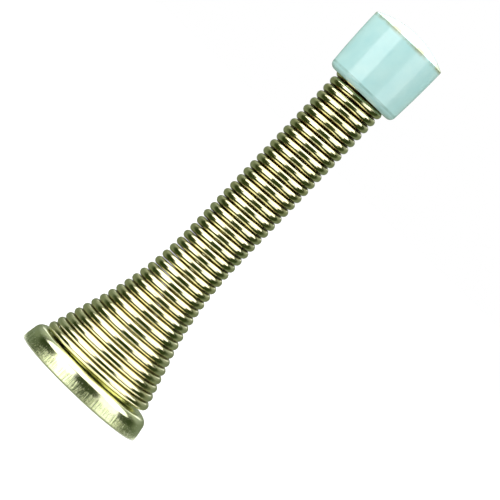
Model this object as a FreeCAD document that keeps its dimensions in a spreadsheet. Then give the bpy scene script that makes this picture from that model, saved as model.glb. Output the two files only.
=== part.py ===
"""Spring door stop: a pressed base cup, a bell-mouthed close-wound spring and a push-on rubber tip.

Millimetres and degrees. The origin is the centre of the base's back, where it meets the wall, and +Z runs
out along the axis of the spring to the tip.
"""
import FreeCAD, Part
import Sketcher
import math
import os

doc = FreeCAD.newDocument("spring_door_stop")

# Driving dimensions
DIMENSIONS = (
    # wire and winding
    ("wire_diameter", 1.5),
    ("coil_gap", 0.074),
    ("neck_diameter", 10.35),
    ("foot_diameter", 21.5),
    ("flare_angle", 17.5),
    ("flare_radius", 62.0),
    ("spring_exposed", 62.9),
    # pressed base
    ("base_height", 3.8),
    ("draft_angle", 10.0),
    ("sheet_thickness", 0.9),
    ("bend_radius", 0.6),
    ("seat_land", 0.62),
    ("rim_edge_radius", 0.25),
    ("hub_turns", 1.75),
    ("hub_root_radius", 0.5),
    ("screw_hole_diameter", 4.5),
    ("pip_count", 3),
    # soft tip
    ("socket_depth", 8.0),
    ("tip_wall", 1.675),
    ("tip_swell", 0.35),
    ("tip_roof", 3.6),
    ("dome_height", 1.7),
    ("mouth_rounding_width", 0.9),
    ("mouth_rounding_height", 1.05),
    ("lead_in", 0.3),
    ("tip_rim_radius", 0.12),
    # fits between the pieces
    ("seat_clearance", 0.05),
    ("hub_clearance", 0.15),
    ("pip_clearance", 0.05),
    ("socket_clearance", 0.05),
    ("end_clearance", 0.2),
)
sheet = doc.addObject("Spreadsheet::Sheet", "dims")
for row, (alias, value) in enumerate(DIMENSIONS, start=1):
    sheet.set(f"A{row}", alias)
    sheet.set(f"B{row}", str(value))
    sheet.setAlias(f"B{row}", alias)
doc.recompute()

# Places that the pieces share, as expressions on the sheet
WIRE_RADIUS = "dims.wire_diameter / 2"
PITCH = "(dims.wire_diameter + dims.coil_gap)"
FOOT_RADIUS = "(dims.foot_diameter - dims.wire_diameter) / 2"
FIRST_COIL_Z = f"(dims.base_height + dims.seat_clearance + {WIRE_RADIUS})"
SOCKET_RADIUS = "(dims.neck_diameter / 2 + dims.socket_clearance)"
MOUTH_Z = "(dims.base_height + dims.spring_exposed)"


def measured(expression):
    """The value of an expression on the sheet, as a plain number."""
    return float(doc.dims.evalExpression(expression.replace("dims.", "")))


def origin_plane(body, role):
    """One of a body's own origin planes."""
    return next(plane for plane in body.Origin.OriginFeatures if plane.Role == role)


def half_section(body, name, corners, arcs):
    """A closed half section in the XZ plane of a body, to be turned about Z.

    Each corner is a (radius, height) pair of expressions. An arc takes the place of the side that starts at
    its corner, and its centre is held level with that side's end or on the axis.
    """
    sketch = body.newObject("Sketcher::SketchObject", name)
    sketch.AttachmentSupport = [(origin_plane(body, "XZ_Plane"), "")]
    sketch.MapMode = "FlatFace"
    points = [FreeCAD.Vector(measured(r), measured(z), 0) for r, z in corners]
    count = len(points)
    for i, start in enumerate(points):
        end = points[(i + 1) % count]
        if i not in arcs:
            sketch.addGeometry(Part.LineSegment(start, end), False)
            continue
        rise = end - start
        if arcs[i] == "level":
            centre = FreeCAD.Vector(end.x - (rise.x**2 + rise.y**2) / (2 * rise.x), end.y, 0)
        else:
            centre = FreeCAD.Vector(0, end.y - (rise.x**2 + rise.y**2) / (2 * rise.y), 0)
        radius = (end - centre).Length
        turn = [math.atan2(p.y - centre.y, p.x - centre.x) for p in (start, end)]
        circle = Part.Circle(centre, FreeCAD.Vector(0, 0, 1), radius)
        sketch.addGeometry(Part.ArcOfCircle(circle, turn[0], turn[1]), False)
    for i, (radius, height) in enumerate(corners):
        sketch.addConstraint(Sketcher.Constraint("Coincident", i - 1 if i else count - 1, 2, i, 1))
        for kind, expression, value in (("DistanceX", radius, points[i].x), ("DistanceY", height, points[i].y)):
            index = sketch.addConstraint(Sketcher.Constraint(kind, -1, 1, i, 1, value))
            sketch.setExpression(f"Constraints[{index}]", expression)
    for i, kind in arcs.items():
        if kind == "level":
            sketch.addConstraint(Sketcher.Constraint("Horizontal", i, 3, i, 2))
        else:
            sketch.addConstraint(Sketcher.Constraint("PointOnObject", i, 3, -2))
    return sketch


def turned(body, name, sketch):
    """A half section turned once about Z."""
    solid = body.newObject("PartDesign::Revolution", name)
    solid.Profile = sketch
    solid.ReferenceAxis = (sketch, ["V_Axis"])
    solid.Angle = 360
    doc.recompute()
    return solid


def circle_edge(feature, radius, height):
    """The name of a feature's round edge about Z, by its radius and height."""
    for i, edge in enumerate(feature.Shape.Edges, start=1):
        curve = edge.Curve
        if not isinstance(curve, Part.Circle):
            continue
        if abs(curve.Radius - radius) < 1e-4 and abs(curve.Center.z - height) < 1e-4:
            return f"Edge{i}"
    raise ValueError(f"no round edge of radius {radius} at height {height}")


def rounded(body, name, base, edge, radius):
    """A fillet on one round edge."""
    fillet = body.newObject("PartDesign::Fillet", name)
    fillet.Base = (base, [edge])
    fillet.setExpression("Radius", radius)
    doc.recompute()
    return fillet


# Winding of the spring. The wire's centre line winds round a meridian that climbs from the foot as a straight
# cone, bends in through an arc and goes on as the straight neck. Each turn takes one pitch of its length.
wire_radius = measured(WIRE_RADIUS)
pitch = measured(PITCH)
foot_radius = measured(FOOT_RADIUS)
first_coil_z = measured(FIRST_COIL_Z)
neck_radius = measured("(dims.neck_diameter - dims.wire_diameter) / 2")
flare_angle = math.radians(measured("dims.flare_angle"))
flare_radius = measured("dims.flare_radius")
last_coil_z = measured(f"{MOUTH_Z} + dims.socket_depth - dims.end_clearance - {WIRE_RADIUS}")

cone_length = (foot_radius - neck_radius - flare_radius * (1 - math.cos(flare_angle))) / math.sin(flare_angle)
arc_length = flare_radius * flare_angle
neck_z = first_coil_z + cone_length * math.cos(flare_angle) + flare_radius * math.sin(flare_angle)
turns = (cone_length + arc_length + last_coil_z - neck_z) / pitch


def meridian(length):
    """Radius, height and lean of the wire's centre line, by the length climbed from the foot."""
    if length < cone_length:
        radius = foot_radius - length * math.sin(flare_angle)
        return radius, first_coil_z + length * math.cos(flare_angle), flare_angle
    lean = flare_angle - (length - cone_length) / flare_radius
    if lean > 0:
        return neck_radius + flare_radius * (1 - math.cos(lean)), neck_z - flare_radius * math.sin(lean), lean
    return neck_radius, neck_z + length - cone_length - arc_length, 0.0


def station(turn):
    """Point and direction of the wire's centre line, by the turns wound from the foot."""
    radius, height, lean = meridian(turn * pitch)
    out = FreeCAD.Vector(math.cos(2 * math.pi * turn), math.sin(2 * math.pi * turn), 0)
    along = FreeCAD.Vector(-out.y, out.x, 0)
    climb = FreeCAD.Vector(0, 0, math.cos(lean)) - out * math.sin(lean)
    direction = along * radius + climb * (pitch / (2 * math.pi))
    return out * radius + FreeCAD.Vector(0, 0, height), direction.normalize()


def tangent_arc(start, corner, end):
    """The arc between two points whose tangents meet at a corner as far from one as from the other."""
    middle = (start + end) * 0.5
    half_chord = (end - start).Length / 2
    half_turn = math.acos(half_chord / (corner - start).Length)
    crown = middle + (corner - middle).normalize() * half_chord * math.tan(half_turn / 2)
    return Part.Arc(start, crown, end).toShape()


def wound_arcs(turn_from, turn_to):
    """Two arcs that leave one station and meet the next one in its own direction, without a kink."""
    start, leaving = station(turn_from)
    end, arriving = station(turn_to)
    span = end - start
    spread = 2 * (1 - leaving.dot(arriving))
    reach = span.dot(leaving + arriving)
    handle = (math.sqrt(reach**2 + spread * span.dot(span)) - reach) / spread
    first_corner = start + leaving * handle
    second_corner = end - arriving * handle
    joint = (first_corner + second_corner) * 0.5
    return [tangent_arc(start, first_corner, joint), tangent_arc(joint, second_corner, end)]


# Base cup: turned as a solid hat, rounded at its bends, hollowed to sheet and pierced for the screw
OUTER_BEND = "(dims.bend_radius + dims.sheet_thickness)"
SHOULDER_RADIUS = f"({FOOT_RADIUS} + dims.seat_land + {OUTER_BEND} * tan(45 - dims.draft_angle / 2))"
RIM_RADIUS = f"({SHOULDER_RADIUS} + dims.base_height * tan(dims.draft_angle))"
HUB_OFFSET = f"({WIRE_RADIUS} + dims.hub_clearance)"
HUB_TOP_Z = f"({FIRST_COIL_Z} + dims.hub_turns * {PITCH} * cos(dims.flare_angle) + {OUTER_BEND})"


def hub_radius(height):
    """The hub's outside, which follows the inside of the coils at a clearance."""
    return (
        f"({FOOT_RADIUS} - {HUB_OFFSET} / cos(dims.flare_angle)"
        f" - ({height} - {FIRST_COIL_Z}) * tan(dims.flare_angle))"
    )


base_cup = doc.addObject("PartDesign::Body", "base_cup")
base_cup.Label = "base_cup"
hat_section = half_section(
    base_cup,
    "hat_section",
    (
        ("0", "0"),
        (RIM_RADIUS, "0"),
        (SHOULDER_RADIUS, "dims.base_height"),
        (hub_radius("dims.base_height"), "dims.base_height"),
        (hub_radius(HUB_TOP_Z), HUB_TOP_Z),
        ("0", HUB_TOP_Z),
    ),
    {},
)
hat = turned(base_cup, "hat", hat_section)
base_height = measured("dims.base_height")
shoulder_edge = circle_edge(hat, measured(SHOULDER_RADIUS), base_height)
shoulder = rounded(base_cup, "shoulder", hat, shoulder_edge, OUTER_BEND)
root_edge = circle_edge(shoulder, measured(hub_radius("dims.base_height")), base_height)
hub_root = rounded(base_cup, "hub_root", shoulder, root_edge, "dims.hub_root_radius")
crown_edge = circle_edge(hub_root, measured(hub_radius(HUB_TOP_Z)), measured(HUB_TOP_Z))
hub_crown = rounded(base_cup, "hub_crown", hub_root, crown_edge, OUTER_BEND)

back = max(range(len(hub_crown.Shape.Faces)), key=lambda i: -hub_crown.Shape.Faces[i].CenterOfMass.z)
hollow = base_cup.newObject("PartDesign::Thickness", "hollow")
hollow.Base = (hub_crown, [f"Face{back + 1}"])
hollow.setExpression("Value", "dims.sheet_thickness")
hollow.Reversed = True
doc.recompute()
rim_edge = circle_edge(hollow, measured(RIM_RADIUS), 0)
back_rim = rounded(base_cup, "back_rim", hollow, rim_edge, "dims.rim_edge_radius")

hole_circle = base_cup.newObject("Sketcher::SketchObject", "hole_circle")
hole_circle.AttachmentSupport = [(origin_plane(base_cup, "XY_Plane"), "")]
hole_circle.MapMode = "FlatFace"
hole_circle.addGeometry(Part.Circle(FreeCAD.Vector(), FreeCAD.Vector(0, 0, 1), 1), False)
hole_circle.addConstraint(Sketcher.Constraint("Coincident", 0, 3, -1, 1))
hole_size = hole_circle.addConstraint(Sketcher.Constraint("Diameter", 0, measured("dims.screw_hole_diameter")))
hole_circle.setExpression(f"Constraints[{hole_size}]", "dims.screw_hole_diameter")
screw_hole = base_cup.newObject("PartDesign::Pocket", "screw_hole")
screw_hole.Profile = hole_circle
screw_hole.Type = "ThroughAll"
screw_hole.Reversed = True
doc.recompute()

# Pips on the hub, stepped along the groove between the first coils. Each is a ball centred in the hub's outside
# that stops a clearance short of the wire above and below it.
pip_count = int(measured("dims.pip_count"))
hub_offset = measured(HUB_OFFSET)
PIP_RADIUS = f"sqrt(({PITCH} / 2) ^ 2 + {HUB_OFFSET} ^ 2) - {WIRE_RADIUS} - dims.pip_clearance"
for i in range(pip_count):
    turn = i / pip_count
    radius, height, lean = meridian((turn + 0.5) * pitch)
    radius -= hub_offset * math.cos(lean)
    height -= hub_offset * math.sin(lean)
    pip = base_cup.newObject("PartDesign::AdditiveSphere", f"pip_{i + 1}")
    pip.setExpression("Radius", PIP_RADIUS)
    angle = 2 * math.pi * turn
    pip.Placement.Base = FreeCAD.Vector(radius * math.cos(angle), radius * math.sin(angle), height)
    doc.recompute()

# Spring: the round wire swept along its winding, half a turn at a time
winding = doc.addObject("Part::Feature", "winding")
half_turns = math.ceil(turns * 2)
arcs = []
for i in range(half_turns):
    arcs += wound_arcs(turns * i / half_turns, turns * (i + 1) / half_turns)
winding.Shape = Part.Wire(arcs)
wire_section = doc.addObject("Part::Circle", "wire_section")
wire_section.setExpression("Radius", WIRE_RADIUS)
start, direction = station(0)
wire_section.Placement = FreeCAD.Placement(start, FreeCAD.Rotation(FreeCAD.Vector(0, 0, 1), direction))
spring = doc.addObject("Part::Sweep", "spring")
spring.Label = "spring"
spring.Sections = [wire_section]
spring.Spine = (winding, [])
spring.Solid = True
spring.Frenet = True

# Rubber tip: turned in one half section, domed at the end, with a blind socket for the spring
RIM_Z = "(dims.socket_depth + dims.tip_roof)"
MOUTH_RADIUS = f"({SOCKET_RADIUS} + dims.tip_wall)"
TIP_RIM_RADIUS = f"({MOUTH_RADIUS} + dims.tip_swell)"
rubber_tip = doc.addObject("PartDesign::Body", "rubber_tip")
rubber_tip.Label = "rubber_tip"
rubber_tip.setExpression("Placement.Base.z", MOUTH_Z)
tip_section = half_section(
    rubber_tip,
    "tip_section",
    (
        (f"{MOUTH_RADIUS} - dims.mouth_rounding_width", "0"),
        (MOUTH_RADIUS, "dims.mouth_rounding_height"),
        (TIP_RIM_RADIUS, RIM_Z),
        ("0", f"{RIM_Z} + dims.dome_height"),
        ("0", "dims.socket_depth"),
        (SOCKET_RADIUS, "dims.socket_depth"),
        (SOCKET_RADIUS, "dims.lead_in"),
        (f"{SOCKET_RADIUS} + dims.lead_in", "0"),
    ),
    {0: "level", 1: "level", 2: "axis"},
)
bumper = turned(rubber_tip, "bumper", tip_section)
tip_edge = circle_edge(bumper, measured(TIP_RIM_RADIUS), measured(RIM_Z))
tip_rim = rounded(rubber_tip, "tip_rim", bumper, tip_edge, "dims.tip_rim_radius")
doc.recompute()

# Checks on the finished document, then one file for each piece
for item in doc.Objects:
    if "Invalid" in item.State or "Error" in item.State:
        raise RuntimeError(f"{item.Label} failed to build: {item.State}")
pieces = (base_cup, spring, rubber_tip)
for piece in pieces:
    if piece.Shape.isNull() or not piece.Shape.isValid() or len(piece.Shape.Solids) != 1:
        raise RuntimeError(f"{piece.Label} is not one valid solid")
if base_cup.Shape.Volume >= hub_crown.Shape.Volume / 2:
    raise RuntimeError("the base cup is not hollow")

os.makedirs("parts", exist_ok=True)
for piece in pieces:
    piece.Shape.exportStep(f"parts/{piece.Label}.step")
    box = piece.Shape.BoundBox
    print(f"{piece.Label}: {piece.Shape.Volume:.1f} mm3, {box.XLength:.2f} x {box.YLength:.2f} x {box.ZLength:.2f} mm")
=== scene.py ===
import math

import bmesh
import bpy
from mathutils import Matrix, Vector


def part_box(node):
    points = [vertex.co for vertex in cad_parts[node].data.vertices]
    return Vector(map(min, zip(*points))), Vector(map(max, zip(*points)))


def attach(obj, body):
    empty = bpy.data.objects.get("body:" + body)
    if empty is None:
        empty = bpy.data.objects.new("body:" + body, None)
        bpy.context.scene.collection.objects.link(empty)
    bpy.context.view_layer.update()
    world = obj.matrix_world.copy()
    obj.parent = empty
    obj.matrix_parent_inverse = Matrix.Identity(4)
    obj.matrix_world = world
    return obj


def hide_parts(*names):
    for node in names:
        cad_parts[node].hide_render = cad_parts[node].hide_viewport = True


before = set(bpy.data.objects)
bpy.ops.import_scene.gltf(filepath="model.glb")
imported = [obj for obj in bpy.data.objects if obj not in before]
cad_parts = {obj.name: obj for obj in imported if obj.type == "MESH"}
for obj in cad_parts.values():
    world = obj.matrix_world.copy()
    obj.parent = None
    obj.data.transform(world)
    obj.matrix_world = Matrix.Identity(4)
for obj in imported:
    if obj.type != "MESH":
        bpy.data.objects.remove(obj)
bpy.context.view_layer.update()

# Base cup: a round of steel sheet, drawn into a shallow cup with a raised hub in its middle and brass plated
# after. One wood screw through the hub's hole holds it to the skirting board, and the spring's foot is
# screwed over the pips on the hub.
MM = 0.001
base_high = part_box("base_cup")[1]
SHEET = 0.9 * MM
SKIRT_DRAFT = math.radians(10)
SEAT_Z = 3.8 * MM
RIM_EDGE = 0.25 * MM
RIM_RADIUS = base_high[0] + RIM_EDGE * (math.tan(SKIRT_DRAFT) + 1 / math.cos(SKIRT_DRAFT) - 1)
SHOULDER_RADIUS = RIM_RADIUS - SEAT_Z * math.tan(SKIRT_DRAFT)
OUTER_BEND = 1.5 * MM
INNER_BEND = OUTER_BEND - SHEET
HUB_LEAN = math.radians(17.5)
HUB_FOOT_RADIUS = 9.308 * MM
HUB_ROOT = 0.5 * MM
HUB_TOP_Z = base_high[2]
HUB_TOP_RADIUS = HUB_FOOT_RADIUS - (HUB_TOP_Z - SEAT_Z) * math.tan(HUB_LEAN)
SCREW_HOLE_RADIUS = 2.25 * MM
HOLE_EDGE = 0.12 * MM
CUT_EDGE = 0.06 * MM
CUP_SEGMENTS = 320
PIP_COUNT = 3
PIP_RADIUS = 0.395 * MM
FIRST_PIP_Z = 5.08 * MM
PIP_RISE = 0.5 * MM
PIP_FINENESS = 3
ARC_STEP = math.radians(6)
ON_AXIS = 1e-7
SHARP_BEND = math.radians(32)
FLAT_WEIGHT = 80


def rounded_outline(corners):
    """An outline of (radius, height) points, from (radius, height, rounding) corners."""
    outline = []
    for i, (r, z, rounding) in enumerate(corners):
        corner = Vector((r, z))
        back = (Vector(corners[i - 1][:2]) - corner).normalized()
        ahead = (Vector(corners[(i + 1) % len(corners)][:2]) - corner).normalized()
        half_angle = math.acos(back.dot(ahead)) / 2
        centre = corner + (back + ahead).normalized() * rounding / math.sin(half_angle)
        first = corner + back * rounding / math.tan(half_angle) - centre
        last = corner + ahead * rounding / math.tan(half_angle) - centre
        turn = first.angle_signed(last)
        steps = max(2, math.ceil(abs(turn) / ARC_STEP))
        for j in range(steps + 1):
            outline.append(centre + Matrix.Rotation(-turn * j / steps, 2) @ first)
    return outline


def add_shape(name, shape):
    """A new object in the scene, from a finished shape."""
    mesh = bpy.data.meshes.new(name)
    shape.to_mesh(mesh)
    shape.free()
    piece = bpy.data.objects.new(name, mesh)
    bpy.context.collection.objects.link(piece)
    return piece


def turned_piece(name, outline, segments):
    """A closed body of revolution about Z, from a closed outline of (radius, height) points."""
    shape = bmesh.new()
    rings = []
    for r, z in outline:
        spokes = [2 * math.pi * i / segments for i in range(segments if r > ON_AXIS else 1)]
        rings.append([shape.verts.new((r * math.cos(a), r * math.sin(a), z)) for a in spokes])
    for low, high in zip(rings, rings[1:] + rings[:1]):
        for i in range(segments if len(low) + len(high) > 2 else 0):
            k = (i + 1) % segments
            around = [low[i % len(low)], low[k % len(low)], high[k % len(high)], high[i % len(high)]]
            shape.faces.new(list(dict.fromkeys(around)))
    bmesh.ops.recalc_face_normals(shape, faces=shape.faces)
    piece = add_shape(name, shape)
    piece.data.shade_smooth()
    piece.data.set_sharp_from_angle(angle=SHARP_BEND)
    even = piece.modifiers.new("even_normals", "WEIGHTED_NORMAL")
    even.keep_sharp = True
    even.weight = FLAT_WEIGHT
    return piece


under_z = SEAT_Z - SHEET
skirt_inside = RIM_RADIUS - SHEET / math.cos(SKIRT_DRAFT)
hub_wall = SHEET / math.cos(HUB_LEAN) - SHEET * math.tan(HUB_LEAN)
base_cup = turned_piece(
    "base_cup_plated",
    rounded_outline((
        (RIM_RADIUS, 0, RIM_EDGE),
        (SHOULDER_RADIUS, SEAT_Z, OUTER_BEND),
        (HUB_FOOT_RADIUS, SEAT_Z, HUB_ROOT),
        (HUB_TOP_RADIUS, HUB_TOP_Z, OUTER_BEND),
        (SCREW_HOLE_RADIUS, HUB_TOP_Z, HOLE_EDGE),
        (SCREW_HOLE_RADIUS, HUB_TOP_Z - SHEET, CUT_EDGE),
        (HUB_TOP_RADIUS - hub_wall, HUB_TOP_Z - SHEET, INNER_BEND),
        (HUB_FOOT_RADIUS - hub_wall, under_z, HUB_ROOT + SHEET),
        (skirt_inside - under_z * math.tan(SKIRT_DRAFT), under_z, INNER_BEND),
        (skirt_inside, 0, CUT_EDGE),
    )),
    CUP_SEGMENTS,
)

# each pip is a ball let half into the hub's side, a third of a turn and a third of a coil from the next
balls = bmesh.new()
for i in range(PIP_COUNT):
    pip_angle = 2 * math.pi * i / PIP_COUNT
    pip_z = FIRST_PIP_Z + PIP_RISE * i
    pip_r = HUB_FOOT_RADIUS - (pip_z - SEAT_Z) * math.tan(HUB_LEAN)
    pip_place = Matrix.Translation((pip_r * math.cos(pip_angle), pip_r * math.sin(pip_angle), pip_z))
    bmesh.ops.create_icosphere(balls, subdivisions=PIP_FINENESS, radius=PIP_RADIUS, matrix=pip_place)
pips = add_shape("hub_pips", balls)
raised = base_cup.modifiers.new("raised_pips", "BOOLEAN")
raised.operation = "UNION"
raised.object = pips
base_cup.modifiers.move(1, 0)
whole_cup = base_cup.evaluated_get(bpy.context.evaluated_depsgraph_get())
base_cup.data = bpy.data.meshes.new_from_object(whole_cup)
base_cup.modifiers.clear()
bpy.data.objects.remove(pips)


def new_group(name, inputs, outputs):
    """An empty shader node group with named sockets, and its input and output nodes."""
    group = bpy.data.node_groups.new(name, "ShaderNodeTree")
    for label, kind in inputs:
        group.interface.new_socket(label, in_out="INPUT", socket_type=kind)
    for label, kind in outputs:
        group.interface.new_socket(label, in_out="OUTPUT", socket_type=kind)
    return group, group.nodes.new("NodeGroupInput").outputs, group.nodes.new("NodeGroupOutput").inputs


def add_node(tree, kind, sockets=(), **settings):
    """A node with its settings, and with each named input linked to an output or set to a value."""
    node = tree.nodes.new(kind)
    for key, value in settings.items():
        setattr(node, key, value)
    for socket, source in dict(sockets).items():
        if isinstance(source, bpy.types.NodeSocket):
            tree.links.new(source, node.inputs[socket])
        else:
            node.inputs[socket].default_value = source
    return node


def blend(tree, factor, first, second):
    """A colour between two, by a mask."""
    sockets = {"Factor": factor, "A": first, "B": second}
    return add_node(tree, "ShaderNodeMix", sockets, data_type="RGBA").outputs["Result"]


def stretch(tree, value, low, high, start=0.0, end=1.0, soft=False):
    """A value moved from one range to another, and held at the ends."""
    return add_node(
        tree,
        "ShaderNodeMapRange",
        {"Value": value, "From Min": low, "From Max": high, "To Min": start, "To Max": end},
        interpolation_type="SMOOTHSTEP" if soft else "LINEAR",
    ).outputs["Result"]


def reckon(tree, operation, first, second=0.0, third=0.0):
    """The result of one sum on values."""
    return add_node(tree, "ShaderNodeMath", {0: first, 1: second, 2: third}, operation=operation).outputs[0]


# bright plate drifts in tone, and has dull specks where it is pitted
PITTED_BRASS = (0.40, 0.35, 0.15, 1)
HAZE = 0.05
PIT_ROUGHNESS = 0.4
brass_plating, given, result = new_group(
    "brass_plating",
    (
        ("Vector", "NodeSocketVector"),
        ("Bright", "NodeSocketColor"),
        ("Deep", "NodeSocketColor"),
        ("Tarnish", "NodeSocketFloat"),
        ("Polish", "NodeSocketFloat"),
    ),
    (("Color", "NodeSocketColor"), ("Roughness", "NodeSocketFloat"), ("Height", "NodeSocketFloat")),
)
drift = add_node(brass_plating, "ShaderNodeTexNoise", {
    "Vector": given["Vector"], "Scale": 260.0, "Detail": 3.0, "Roughness": 0.6}).outputs["Fac"]
specks = add_node(brass_plating, "ShaderNodeTexNoise", {
    "Vector": given["Vector"], "Scale": 2600.0, "Detail": 2.0}).outputs["Fac"]
tone = stretch(brass_plating, drift, 0.35, 0.7)
pitted = reckon(brass_plating, "MULTIPLY", stretch(brass_plating, specks, 0.62, 0.74), given["Tarnish"])
plate_colour = blend(brass_plating, tone, given["Bright"], given["Deep"])
hazed = reckon(brass_plating, "MULTIPLY_ADD", tone, HAZE, given["Polish"])
brass_plating.links.new(blend(brass_plating, pitted, plate_colour, PITTED_BRASS), result["Color"])
rough_pits = reckon(brass_plating, "MULTIPLY_ADD", pitted, PIT_ROUGHNESS, hazed)
brass_plating.links.new(rough_pits, result["Roughness"])
brass_plating.links.new(drift, result["Height"])

# fine lines are left by a die, a drawplate or a mould, and their spread says which way they run
fine_lines, given, result = new_group(
    "fine_lines",
    (("Vector", "NodeSocketVector"), ("Spread", "NodeSocketVector"), ("Cut", "NodeSocketFloat")),
    (("Lines", "NodeSocketFloat"),),
)
spread_out = add_node(fine_lines, "ShaderNodeVectorMath", {
    0: given["Vector"], 1: given["Spread"]}, operation="MULTIPLY").outputs[0]
marks = add_node(fine_lines, "ShaderNodeTexNoise", {
    "Vector": spread_out, "Scale": 1.0, "Detail": 4.0, "Roughness": 0.65}).outputs["Fac"]
fine_lines.links.new(stretch(fine_lines, marks, given["Cut"], 0.8), result["Lines"])


def new_material(name):
    """A material that has only its shader so far, with its nodes."""
    material = bpy.data.materials.new(name)
    material.use_nodes = True
    return material, material.node_tree, material.node_tree.nodes["Principled BSDF"].inputs


SHEET_BRIGHT = (0.90, 0.92, 0.66, 1)
SHEET_DEEP = (0.82, 0.85, 0.50, 1)
SCORED_GREEN = (0.44, 0.56, 0.20, 1)
RIM_SHADE = (0.12, 0.14, 0.07, 1)
SCUFF_FROM_Z = 2.3 * MM
SCUFF_FULL_Z = 1.5 * MM
SCUFF_ROUGHNESS = 0.05
RIM_SHADE_FROM_Z = 0.45 * MM
RIM_SHADE_FULL_Z = 0.15 * MM
sheet_brass, tree, shader = new_material("brass_sheet")
place = add_node(tree, "ShaderNodeTexCoord").outputs["Object"]
x, y, z = add_node(tree, "ShaderNodeSeparateXYZ", {0: place}).outputs
angle = reckon(tree, "ARCTAN2", y, x)
round_skirt = add_node(tree, "ShaderNodeCombineXYZ", {"X": angle, "Z": z}).outputs[0]
drawn = add_node(tree, "ShaderNodeGroup", node_tree=fine_lines)
tree.links.new(round_skirt, drawn.inputs["Vector"])
drawn.inputs["Spread"].default_value = (38.0, 1.0, 160.0)
drawn.inputs["Cut"].default_value = 0.38
scuffed = stretch(tree, z, SCUFF_FROM_Z, SCUFF_FULL_Z, soft=True)
scored = reckon(tree, "MULTIPLY", drawn.outputs["Lines"], scuffed)
plate = add_node(tree, "ShaderNodeGroup", node_tree=brass_plating)
tree.links.new(place, plate.inputs["Vector"])
plate.inputs["Bright"].default_value = SHEET_BRIGHT
plate.inputs["Deep"].default_value = SHEET_DEEP
plate.inputs["Tarnish"].default_value = 0.3
plate.inputs["Polish"].default_value = 0.15
scored_plate = blend(tree, scored, plate.outputs["Color"], SCORED_GREEN)
# painted shade: the lowest half millimetre of the skirt is darkened towards the floor
painted_rim_shade = stretch(tree, z, RIM_SHADE_FROM_Z, RIM_SHADE_FULL_Z, soft=True)
tree.links.new(blend(tree, painted_rim_shade, scored_plate, RIM_SHADE), shader["Base Color"])
rough_skirt = reckon(tree, "MULTIPLY_ADD", scuffed, SCUFF_ROUGHNESS, plate.outputs["Roughness"])
tree.links.new(rough_skirt, shader["Roughness"])
shader["Metallic"].default_value = 1.0
dented = add_node(tree, "ShaderNodeBump", {
    "Height": plate.outputs["Height"], "Strength": 0.3, "Distance": 0.03 * MM}).outputs[0]
score_bump = add_node(tree, "ShaderNodeBump", {
    "Height": scored, "Normal": dented, "Strength": 1.0, "Distance": 0.04 * MM}).outputs[0]
tree.links.new(score_bump, shader["Normal"])
base_cup.data.materials.append(sheet_brass)
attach(base_cup, "root")
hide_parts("base_cup")

# Spring: one length of drawn steel wire, wound close and right-handed, wide at its foot and straight in its
# neck, and brass plated after. Its foot is screwed over the hub's pips until the cut end meets the seat.
spring_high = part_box("spring")[1]
WIRE_RADIUS = 0.75 * MM
COIL_PITCH = 1.574 * MM
FOOT_COIL_RADIUS = spring_high[0] - WIRE_RADIUS
NECK_COIL_RADIUS = 4.425 * MM
FLARE_RADIUS = 62.0 * MM
SEAT_GAP = 0.05 * MM
FIRST_COIL_Z = SEAT_Z + SEAT_GAP + WIRE_RADIUS
LAST_COIL_Z = spring_high[2] - WIRE_RADIUS
WIRE_SIDES = 18
STEPS_PER_TURN = 60
NEARBY_TURN = 0.001
WIRE_END_BEND = math.radians(50)

arc_gain = FLARE_RADIUS * (1 - math.cos(HUB_LEAN))
cone_length = (FOOT_COIL_RADIUS - NECK_COIL_RADIUS - arc_gain) / math.sin(HUB_LEAN)
arc_length = FLARE_RADIUS * HUB_LEAN
neck_z = FIRST_COIL_Z + cone_length * math.cos(HUB_LEAN) + FLARE_RADIUS * math.sin(HUB_LEAN)
turns = (cone_length + arc_length + LAST_COIL_Z - neck_z) / COIL_PITCH


def bell_shape(turn):
    """The radius, height and lean of the bell at the wire's centre, by the turns wound from the foot."""
    climbed = turn * COIL_PITCH
    lean = min(HUB_LEAN, HUB_LEAN - (climbed - cone_length) / FLARE_RADIUS)
    if lean == HUB_LEAN:
        return FOOT_COIL_RADIUS - climbed * math.sin(lean), FIRST_COIL_Z + climbed * math.cos(lean), lean
    if lean > 0:
        radius = NECK_COIL_RADIUS + FLARE_RADIUS * (1 - math.cos(lean))
        return radius, neck_z - FLARE_RADIUS * math.sin(lean), lean
    return NECK_COIL_RADIUS, neck_z + climbed - cone_length - arc_length, 0.0


def wire_centre(turn):
    """A point on the wire's centre line."""
    radius, height, _ = bell_shape(turn)
    return Vector((radius * math.cos(2 * math.pi * turn), radius * math.sin(2 * math.pi * turn), height))


wire = bmesh.new()
steps = math.ceil(turns * STEPS_PER_TURN)
spokes = [2 * math.pi * j / WIRE_SIDES for j in range(WIRE_SIDES)]
loops = []
for i in range(steps + 1):
    turn = turns * i / steps
    centre = wire_centre(turn)
    along = (wire_centre(turn + NEARBY_TURN) - wire_centre(turn - NEARBY_TURN)).normalized()
    lean = bell_shape(turn)[2]
    inward = -Vector((centre.x, centre.y, 0)).normalized() * math.cos(lean)
    inward = inward - Vector((0, 0, math.sin(lean)))
    inward = (inward - along * inward.dot(along)).normalized()
    upward = along.cross(inward)
    loops.append([
        wire.verts.new(centre + (inward * math.cos(a) + upward * math.sin(a)) * WIRE_RADIUS) for a in spokes])
along_wire = wire.loops.layers.uv.new("along_wire")
for i in range(steps):
    for j in range(WIRE_SIDES):
        k = (j + 1) % WIRE_SIDES
        face = wire.faces.new((loops[i][j], loops[i][k], loops[i + 1][k], loops[i + 1][j]))
        face.smooth = True
        for corner, (u, v) in zip(face.loops, ((i, j), (i, j + 1), (i + 1, j + 1), (i + 1, j))):
            corner[along_wire].uv = (u / STEPS_PER_TURN, v / WIRE_SIDES)
wire.faces.new(loops[0])
wire.faces.new(loops[-1])
bmesh.ops.recalc_face_normals(wire, faces=wire.faces)
spring = add_shape("spring_wire", wire)
spring.data.set_sharp_from_angle(angle=WIRE_END_BEND)

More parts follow.
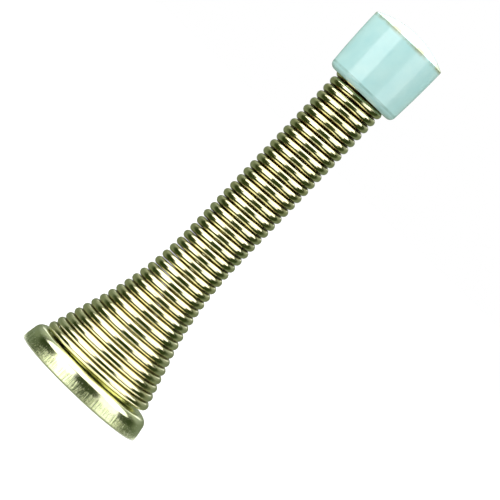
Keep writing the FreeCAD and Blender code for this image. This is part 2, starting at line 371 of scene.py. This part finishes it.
WIRE_BRIGHT = (0.90, 0.87, 0.58, 1)
WIRE_DEEP = (0.86, 0.79, 0.45, 1)
# the groove colour is painted shade and painted reflection between the coils, with some real dirt in it
GROOVE_DIRT_AND_SHADE = (0.13, 0.055, 0.008, 1)
TOP_OF_WIRE = 0.25
UNDERSIDE_OF_WIRE = 0.75
DIRT_AND_SHADE_ON_TOP = (0.095, 0.06)
DIRT_AND_SHADE_BELOW = (0.045, 0.02)
EXTRA_IN_NECK = 0.025
SHARE_AT_FOOT = 0.55
FAINTEST_GROOVE_Z = 10 * MM
FULL_GROOVE_Z = 34 * MM
WIDEST_GROOVE_Z = 62 * MM
wire_brass, tree, shader = new_material("brass_wire")
coords = add_node(tree, "ShaderNodeTexCoord").outputs
drawn = add_node(tree, "ShaderNodeGroup", node_tree=fine_lines)
tree.links.new(coords["UV"], drawn.inputs["Vector"])
drawn.inputs["Spread"].default_value = (3.0, 34.0, 1.0)
drawn.inputs["Cut"].default_value = 0.5
plate = add_node(tree, "ShaderNodeGroup", node_tree=brass_plating)
tree.links.new(coords["Object"], plate.inputs["Vector"])
plate.inputs["Bright"].default_value = WIRE_BRIGHT
plate.inputs["Deep"].default_value = WIRE_DEEP
plate.inputs["Tarnish"].default_value = 0.15
plate.inputs["Polish"].default_value = 0.15
# painted shade darkens the grooves between the coils, tinted dark orange as if the brass mirrored itself
# there, together with some real dirt; it lies more on top of the wire than under it, and the painted shade
# spreads wider towards the tip
around = add_node(tree, "ShaderNodeSeparateXYZ", {0: coords["UV"]}).outputs["Y"]
z = add_node(tree, "ShaderNodeSeparateXYZ", {0: coords["Object"]}).outputs["Z"]
off_top = reckon(tree, "ABSOLUTE", reckon(tree, "SUBTRACT", around, TOP_OF_WIRE))
off_top_widened = reckon(tree, "SUBTRACT", off_top, stretch(tree, z, FULL_GROOVE_Z, WIDEST_GROOVE_Z, 0.0, EXTRA_IN_NECK))
off_underside = reckon(tree, "ABSOLUTE", reckon(tree, "SUBTRACT", around, UNDERSIDE_OF_WIRE))
on_top = stretch(tree, off_top_widened, *DIRT_AND_SHADE_ON_TOP)
touching = reckon(tree, "MAXIMUM", on_top, stretch(tree, off_underside, *DIRT_AND_SHADE_BELOW))
dirt_and_shade_mask = reckon(tree, "MULTIPLY", touching, stretch(tree, z, FAINTEST_GROOVE_Z, FULL_GROOVE_Z, SHARE_AT_FOOT, 1.0))
tree.links.new(blend(tree, dirt_and_shade_mask, plate.outputs["Color"], GROOVE_DIRT_AND_SHADE), shader["Base Color"])
tree.links.new(plate.outputs["Roughness"], shader["Roughness"])
shader["Metallic"].default_value = 1.0
wavy = add_node(tree, "ShaderNodeBump", {
    "Height": plate.outputs["Height"], "Strength": 1.0, "Distance": 0.12 * MM}).outputs[0]
drawn_bump = add_node(tree, "ShaderNodeBump", {
    "Height": drawn.outputs["Lines"], "Normal": wavy, "Strength": 0.15, "Distance": 0.012 * MM}).outputs[0]
tree.links.new(drawn_bump, shader["Normal"])
spring.data.materials.append(wire_brass)
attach(spring, "root")
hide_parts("spring")

# Rubber tip: a soft white moulding with a blind socket, pushed over the last coils by hand. Its mould parted
# round the rim, where a trace of flash has caught some dirt, and its end is a shallow dome.
tip_low, tip_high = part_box("rubber_tip")
SOCKET_RADIUS = 5.225 * MM
SOCKET_DEPTH = 8.0 * MM
LEAD_IN = 0.3 * MM
TIP_MOUTH_RADIUS = 6.9 * MM
MOUTH_WIDTH = 0.9 * MM
MOUTH_HEIGHT = 1.05 * MM
TIP_RIM_RADIUS = tip_high[0]
TIP_SIDE = 11.6 * MM
TIP_RIM_EDGE = 0.12 * MM
TIP_MOUTH_Z = tip_low[2]
TIP_LIP_Z = TIP_MOUTH_Z + MOUTH_HEIGHT
TIP_RIM_Z = TIP_MOUTH_Z + TIP_SIDE
SOCKET_END_Z = TIP_MOUTH_Z + SOCKET_DEPTH
MOUTH_STEPS = 12
SIDE_STEPS = 10
DOME_STEPS = 14
TIP_SEGMENTS = 256


def bowed(start, end, level, steps):
    """Points on an arc from start to end, whose centre is level with the end or else on the axis."""
    run = end - start
    reach = run.length_squared / 2
    centre = Vector((end.x - reach / run.x, end.y)) if level else Vector((0, end.y - reach / run.y))
    spoke = start - centre
    sweep = spoke.angle_signed(end - centre)
    return [centre + Matrix.Rotation(-sweep * i / steps, 2) @ spoke for i in range(1, steps)]


mouth_edge = Vector((TIP_MOUTH_RADIUS - MOUTH_WIDTH, TIP_MOUTH_Z))
side_foot = Vector((TIP_MOUTH_RADIUS, TIP_LIP_Z))
side_top = Vector((TIP_RIM_RADIUS, TIP_RIM_Z - TIP_RIM_EDGE))
dome_edge = Vector((TIP_RIM_RADIUS - TIP_RIM_EDGE, TIP_RIM_Z))
dome_top = Vector((0, tip_high[2]))
rubber_tip = turned_piece(
    "rubber_tip_moulding",
    [
        Vector((SOCKET_RADIUS, TIP_MOUTH_Z + LEAD_IN)),
        Vector((SOCKET_RADIUS + LEAD_IN, TIP_MOUTH_Z)),
        mouth_edge,
        *bowed(mouth_edge, side_foot, True, MOUTH_STEPS),
        side_foot,
        *bowed(side_foot, side_top, True, SIDE_STEPS),
        side_top,
        dome_edge,
        *bowed(dome_edge, dome_top, False, DOME_STEPS),
        dome_top,
        Vector((0, SOCKET_END_Z)),
        Vector((SOCKET_RADIUS, SOCKET_END_Z)),
    ],
    TIP_SEGMENTS,
)

RUBBER_COOL = (0.48, 0.80, 0.81, 1)
RUBBER_PALE = (0.57, 0.86, 0.85, 1)
RIM_DIRT = (0.34, 0.38, 0.22, 1)
LIP_SHADE = (0.22, 0.40, 0.36, 1)
FLASH_REACH = (0.9 * MM, 0.12 * MM)
LIP_REACH = (0.3 * MM, 0.08 * MM)
white_rubber, tree, shader = new_material("white_rubber")
place = add_node(tree, "ShaderNodeTexCoord").outputs["Object"]
z = add_node(tree, "ShaderNodeSeparateXYZ", {0: place}).outputs["Z"]
mottle = add_node(tree, "ShaderNodeTexNoise", {"Vector": place, "Scale": 320.0, "Detail": 4.0}).outputs["Fac"]
cast = blend(tree, stretch(tree, mottle, 0.3, 0.7), RUBBER_COOL, RUBBER_PALE)
tide = add_node(tree, "ShaderNodeGroup", node_tree=fine_lines)
tree.links.new(place, tide.inputs["Vector"])
tide.inputs["Spread"].default_value = (260.0, 260.0, 2200.0)
tide.inputs["Cut"].default_value = 0.5
off_rim = reckon(tree, "ABSOLUTE", reckon(tree, "SUBTRACT", z, TIP_RIM_Z))
flash = stretch(tree, off_rim, *FLASH_REACH, soft=True)
crumbs = add_node(tree, "ShaderNodeTexNoise", {
    "Vector": place, "Scale": 340.0, "Detail": 5.0, "Roughness": 0.65}).outputs["Fac"]
dirt = reckon(tree, "MULTIPLY", flash, stretch(tree, crumbs, 0.42, 0.6, 0.15, 0.95))
rimmed = blend(tree, dirt, cast, RIM_DIRT)
# painted shade: a dark line round the tip where the rounding of its lip begins, broken up by noise
off_lip = reckon(tree, "ABSOLUTE", reckon(tree, "SUBTRACT", z, TIP_LIP_Z))
lip_shade_band = stretch(tree, off_lip, *LIP_REACH, soft=True)
broken_lip_shade = reckon(tree, "MULTIPLY", lip_shade_band, stretch(tree, crumbs, 0.35, 0.6, 0.25, 0.6))
tree.links.new(blend(tree, broken_lip_shade, rimmed, LIP_SHADE), shader["Base Color"])
tree.links.new(stretch(tree, mottle, 0.3, 0.7, 0.1, 0.16), shader["Roughness"])
shader["IOR"].default_value = 1.52
shader["Specular IOR Level"].default_value = 0.8
tide_bump = add_node(tree, "ShaderNodeBump", {
    "Height": tide.outputs["Lines"], "Strength": 0.6, "Distance": 0.012 * MM}).outputs[0]
tree.links.new(tide_bump, shader["Normal"])
rubber_tip.data.materials.append(white_rubber)
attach(rubber_tip, "root")
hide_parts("rubber_tip")

# Floor: a plain sheet of paper under the base. To the camera it is as white as the backdrop, so that no
# horizon shows behind the brass. It is left out of reflections and it casts no shadow.
FLOOR_HALF_WIDTH = 6.0
FLOOR_SQUARES = 8
FLOOR_Z = -0.05 * MM
PAPER_LOW = (0.14, 0.14, 0.14, 1)
PAPER_HIGH = (0.16, 0.16, 0.16, 1)
WHITE = (1, 1, 1, 1)


def glowing_paper(name, mirrored_glow):
    """Matt paper that is pure white to the camera, with its own glow in everything that mirrors it."""
    material, tree, shader = new_material(name)
    fibres = add_node(tree, "ShaderNodeTexNoise", {"Scale": 3.0}).outputs["Fac"]
    tree.links.new(blend(tree, fibres, PAPER_LOW, PAPER_HIGH), shader["Base Color"])
    shader["Roughness"].default_value = 0.9
    shader["Specular IOR Level"].default_value = 0.0
    shader["Emission Color"].default_value = WHITE
    to_eye = add_node(tree, "ShaderNodeLightPath").outputs["Is Camera Ray"]
    tree.links.new(stretch(tree, to_eye, 0.0, 1.0, mirrored_glow, 1.0), shader["Emission Strength"])
    return material


sheet = bmesh.new()
bmesh.ops.create_grid(sheet, x_segments=FLOOR_SQUARES, y_segments=FLOOR_SQUARES, size=FLOOR_HALF_WIDTH)
floor = add_shape("studio_floor", sheet)
floor.location.z = FLOOR_Z
floor.visible_glossy = False
floor.visible_shadow = False
floor.data.materials.append(glowing_paper("pale_floor", 0.0))

# Card: a small round of bright white card that lies on the floor, under the base. Only mirrors and the camera
# see it, and it is what the undersides of the lower coils mirror.
CARD_RADIUS = 18 * MM
CARD_SIDES = 96
CARD_GLOW = 1.8
CARD_Z = -0.02 * MM
disc = bmesh.new()
bmesh.ops.create_circle(disc, cap_ends=True, segments=CARD_SIDES, radius=CARD_RADIUS)
card = add_shape("white_card", disc)
card.location.z = CARD_Z
card.visible_diffuse = False
card.visible_shadow = False
card.data.materials.append(glowing_paper("card_white", CARD_GLOW))

# Light: a tall soft box to the left and right of the camera, a wide one overhead and one behind, all mirrored
# in the brass, and two more that light only what is matt. Between them the brass mirrors a room that is dark
# green in front, grey behind and bright below, where the camera sees plain white.
VIEW_TURN = math.radians(190)
to_camera = Vector((math.sin(VIEW_TURN), -math.cos(VIEW_TURN), 0))
to_right = Vector((math.cos(VIEW_TURN), math.sin(VIEW_TURN), 0))
GREY_TURN = math.radians(4)
FRONT_GREEN = (0.024, 0.040, 0.007, 1)
LOW_GREY = (0.19, 0.23, 0.15, 1)
HIGH_GREY = (0.52, 0.57, 0.47, 1)
BELOW_IN_FRONT = (0.55, 0.56, 0.36, 1)
BELOW_ASIDE = (1.8, 1.72, 1.12, 1)
GREY_CLIMB = (0.15, 0.75)
GREY_START = (0.36, 0.62)
ASIDE_START = (0.12, 0.36)
BELOW_START = (-0.80, -0.88)


def towards(tree, ray, direction):
    """How far a ray points in a direction, from -1 to 1."""
    sockets = {0: ray, 1: direction}
    return add_node(tree, "ShaderNodeVectorMath", sockets, operation="DOT_PRODUCT").outputs["Value"]


world = bpy.data.worlds.new("white_studio")
bpy.context.scene.world = world
world.use_nodes = True
tree = world.node_tree
tree.nodes.clear()
outward = add_node(tree, "ShaderNodeTexCoord").outputs["Generated"]
upness = add_node(tree, "ShaderNodeSeparateXYZ", {0: outward}).outputs["Z"]
backward = towards(tree, outward, Matrix.Rotation(GREY_TURN, 3, "Z") @ -to_camera)
across = towards(tree, outward, to_right)
behind = blend(tree, stretch(tree, upness, *GREY_CLIMB), LOW_GREY, HIGH_GREY)
sides = blend(tree, stretch(tree, backward, *GREY_START), FRONT_GREEN, behind)
aside = stretch(tree, reckon(tree, "ABSOLUTE", across), *ASIDE_START)
below = blend(tree, aside, BELOW_IN_FRONT, BELOW_ASIDE)
room = blend(tree, stretch(tree, upness, *BELOW_START), sides, below)
seen = blend(tree, add_node(tree, "ShaderNodeLightPath").outputs["Is Camera Ray"], room, WHITE)
glow = add_node(tree, "ShaderNodeBackground", {"Color": seen}).outputs[0]
add_node(tree, "ShaderNodeOutputWorld", {"Surface": glow})

LIT_Z = 36 * MM
BOX_LIFT = 0.225
BOX_DISTANCE = 1.2
LEFT_TURN = math.radians(-41)
FILL_TURN = math.radians(-45)
RIGHT_TURN = math.radians(55.5)
OVER_FORWARD = 0.3
OVER_LIFT = 1.0
REAR_BACK = 1.15
REAR_LIFT = 0.9
DOME_LIFT = 1.2
middle = Vector((0, 0, LIT_Z))
hung = middle + Vector((0, 0, BOX_LIFT))


def beside(turn):
    """A place for a box that hangs round the object, by its turn to the right of the camera."""
    return hung + (to_camera * math.cos(turn) + to_right * math.sin(turn)) * BOX_DISTANCE


def soft_box(name, place, aim, width, height, brightness):
    """A rectangular light that faces a point, hidden from the camera."""
    lamp = bpy.data.lights.new(name, "AREA")
    lamp.shape = "RECTANGLE"
    lamp.size = width
    lamp.size_y = height
    lamp.energy = brightness * math.pi * width * height
    box = bpy.data.objects.new(name, lamp)
    box.location = place
    box.rotation_euler = (place - aim).to_track_quat("Z", "Y").to_euler()
    box.visible_camera = False
    bpy.context.collection.objects.link(box)
    return box


soft_box("left_box", beside(LEFT_TURN), hung, width=0.98, height=1.05, brightness=2.1)
soft_box("right_box", beside(RIGHT_TURN), hung, width=0.95, height=1.05, brightness=1.42)
over_place = middle + to_camera * OVER_FORWARD + Vector((0, 0, OVER_LIFT))
over_box = soft_box("over_box", over_place, middle, width=5.0, height=1.6, brightness=2.1)
over_box.rotation_euler = (0, 0, VIEW_TURN)
rear_place = middle - to_camera * REAR_BACK + Vector((0, 0, REAR_LIFT))
soft_box("rear_box", rear_place, middle, width=1.0, height=1.2, brightness=0.9)
dome_place = middle + Vector((0, 0, DOME_LIFT))
dome_box = soft_box("dome_box", dome_place, middle, width=0.4, height=0.4, brightness=40.0)
dome_box.visible_glossy = False
fill_box = soft_box("fill_box", beside(FILL_TURN), hung, width=0.6, height=0.6, brightness=1.4)
fill_box.visible_glossy = False

# Camera: a long lens a little below the height of the tip. It is rolled until the spring lies from corner to
# corner of the frame.
VIEW_DISTANCE = 0.60
EYE_Z = 60 * MM
AIM_Z = 35.83 * MM
AIM_RIGHT = 4.68 * MM
AXIS_ANGLE = math.radians(46.30)
SENSOR_WIDTH = 36
FRAME_PIXELS = 500
PIXELS_PER_MM = 6.118
target = to_right * AIM_RIGHT + Vector((0, 0, AIM_Z))
eye = to_right * AIM_RIGHT + to_camera * VIEW_DISTANCE + Vector((0, 0, EYE_Z))
look = (target - eye).normalized()
upright = (Vector((0, 0, 1)) - look * look.z).normalized()
sideways = look.cross(upright)
frame_right = upright * math.cos(AXIS_ANGLE) + sideways * math.sin(AXIS_ANGLE)
frame_up = upright * math.sin(AXIS_ANGLE) - sideways * math.cos(AXIS_ANGLE)
lens = bpy.data.cameras.new("long_lens")
lens.sensor_width = SENSOR_WIDTH
lens.lens = SENSOR_WIDTH * PIXELS_PER_MM / MM * (target - eye).length / FRAME_PIXELS
camera = bpy.data.objects.new("camera", lens)
camera.matrix_world = Matrix((frame_right, frame_up, -look)).transposed().to_4x4()
camera.location = eye
bpy.context.collection.objects.link(camera)
bpy.context.scene.camera = camera
bpy.context.scene.view_settings.view_transform = "Standard"
